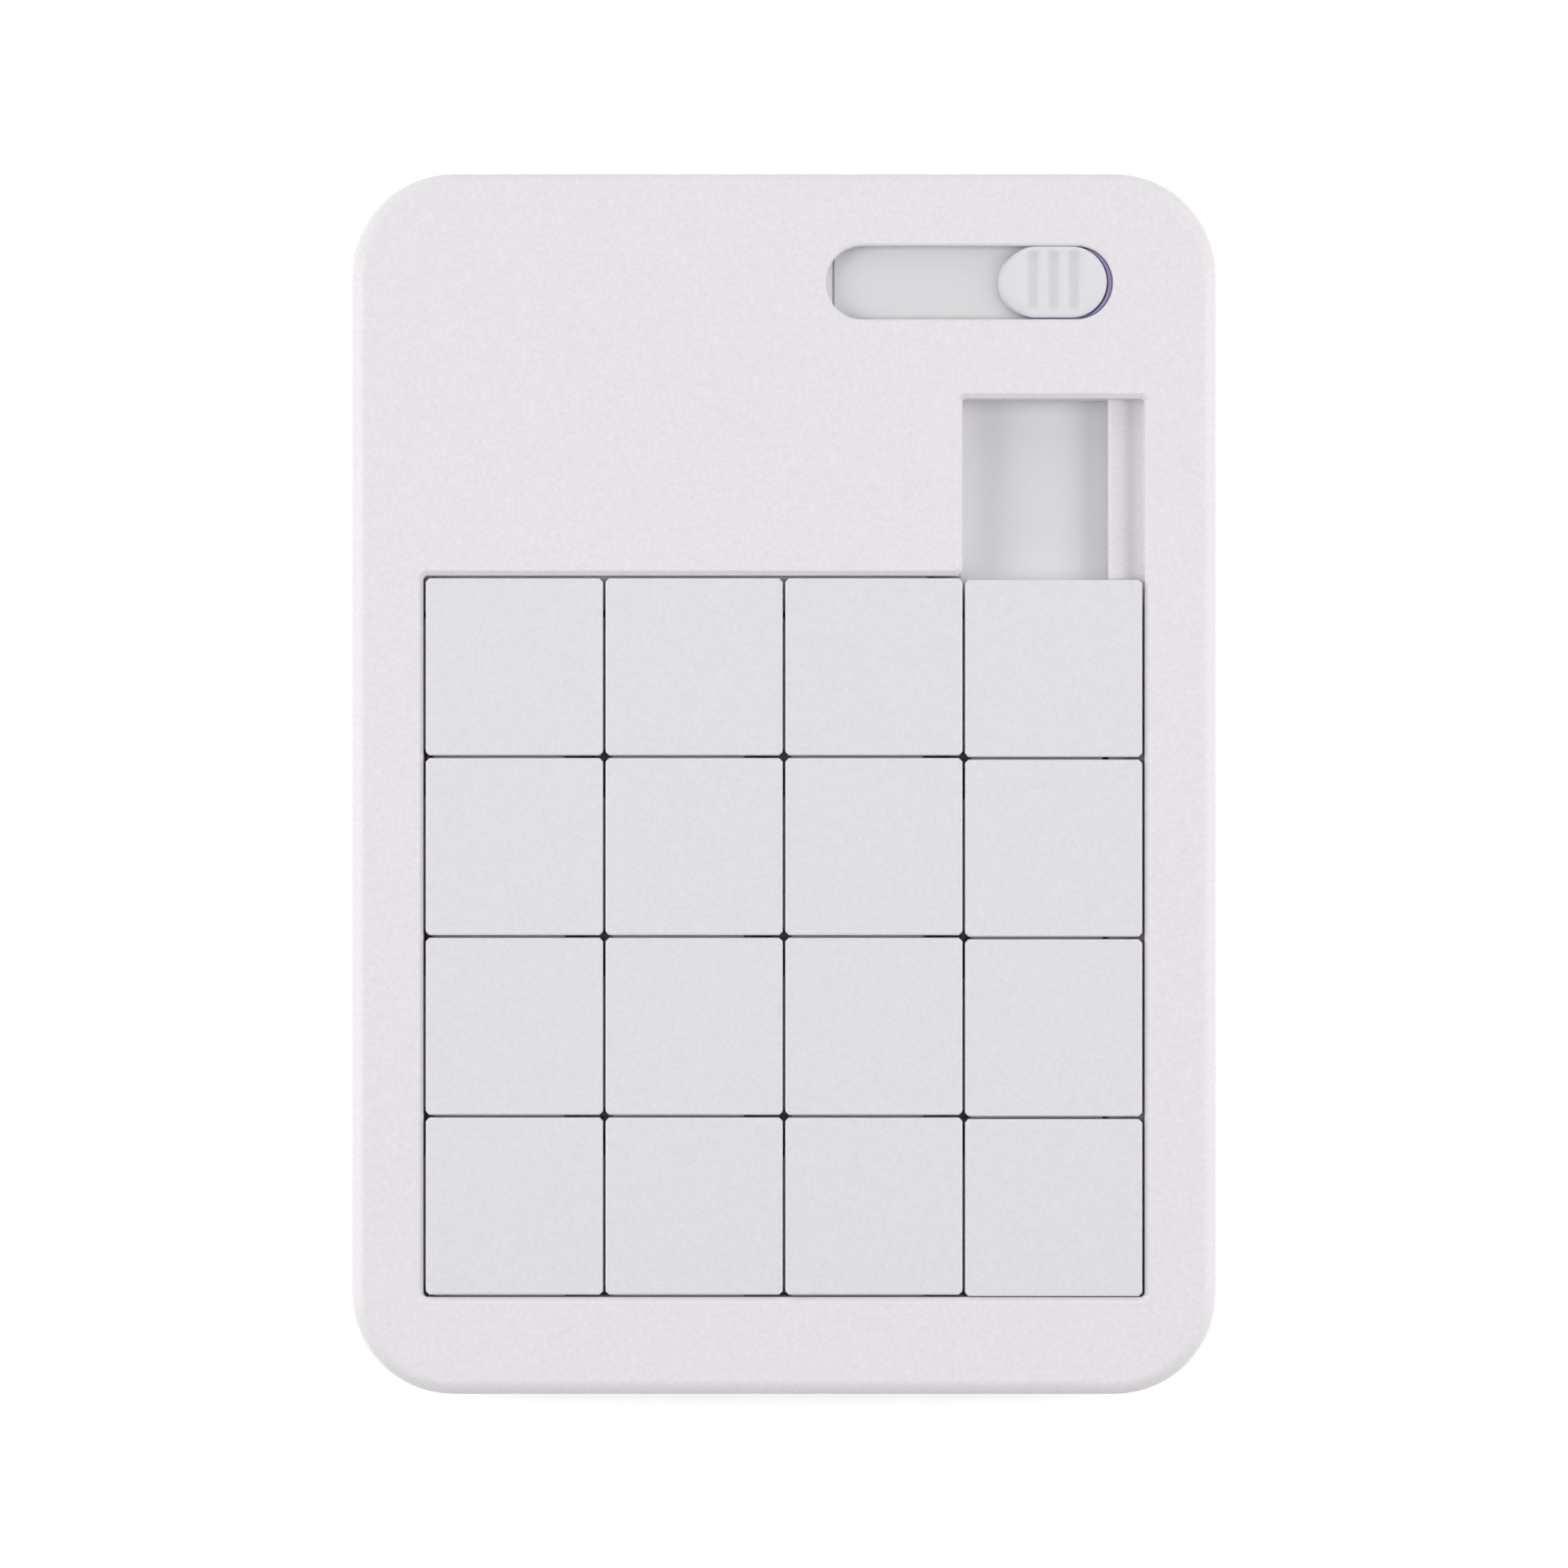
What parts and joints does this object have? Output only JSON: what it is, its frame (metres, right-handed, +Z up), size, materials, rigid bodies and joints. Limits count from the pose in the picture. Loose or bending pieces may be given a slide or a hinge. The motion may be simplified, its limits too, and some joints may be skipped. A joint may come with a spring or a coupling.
{
  "type": "sliding block puzzle",
  "caption": "Flat hand-held sliding block puzzle: interlocking square tiles in a rounded case, with an empty parking bay above the last column and a thumb slider that locks the tiles.",
  "frame": {"origin": "centre of the case's underside, at the table", "axes": "+Z up out of the face with the tiles, +Y towards the end with the thumb slider, +X towards the side with the parking bay"},
  "size_m": [0.085, 0.12, 0.011],
  "materials": {
    "shell_white": "fine spark-eroded matte, warm white",
    "tile_white": "fine spark-eroded matte, cool white",
    "bed_white": "smooth matte, off-white",
    "track_white": "smooth matte, pale grey-white",
    "knob_white": "smooth satin, white",
    "carrier_violet": "smooth matte, violet",
    "screw_steel": "zinc-plated steel"
  },
  "bodies": {
    "case": {"front_shell": "shell_white", "back_cover": "shell_white", "tile_bed": "bed_white", "slider_track": "track_white", "case_screws": "screw_steel", "tile_01": "tile_white", "tile_02": "tile_white", "tile_03": "tile_white", "tile_05": "tile_white", "tile_06": "tile_white", "tile_07": "tile_white", "tile_09": "tile_white", "tile_10": "tile_white", "tile_11": "tile_white", "tile_13": "tile_white", "tile_14": "tile_white", "tile_15": "tile_white"},
    "lock_slider": {"slider_knob": "knob_white", "slider_carrier": "carrier_violet", "lock_bar": "carrier_violet"},
    "column_tile_04": {"tile_04": "tile_white"},
    "column_tile_08": {"tile_08": "tile_white"},
    "column_tile_12": {"tile_12": "tile_white"},
    "column_tile_16": {"tile_16": "tile_white"}
  },
  "joints": [
    {"name": "lock_slide", "type": "slide", "parent": "case", "child": "lock_slider", "axis": [-1, 0, 0], "range_m": [0, 0.0169]},
    {"name": "tile_04_slide", "type": "slide", "parent": "case", "child": "column_tile_04", "axis": [0, 1, 0], "range_m": [0, 0.01775]},
    {"name": "tile_08_slide", "type": "slide", "parent": "case", "child": "column_tile_08", "axis": [0, 1, 0], "range_m": [0, 0.01775]},
    {"name": "tile_12_slide", "type": "slide", "parent": "case", "child": "column_tile_12", "axis": [0, 1, 0], "range_m": [0, 0.01775]},
    {"name": "tile_16_slide", "type": "slide", "parent": "case", "child": "column_tile_16", "axis": [0, 1, 0], "range_m": [0, 0.01775]}
  ],
  "couplings": [
    {"joint": "tile_08_slide", "follows": "tile_04_slide", "ratio": 1},
    {"joint": "tile_12_slide", "follows": "tile_04_slide", "ratio": 1},
    {"joint": "tile_16_slide", "follows": "tile_04_slide", "ratio": 1}
  ]
}
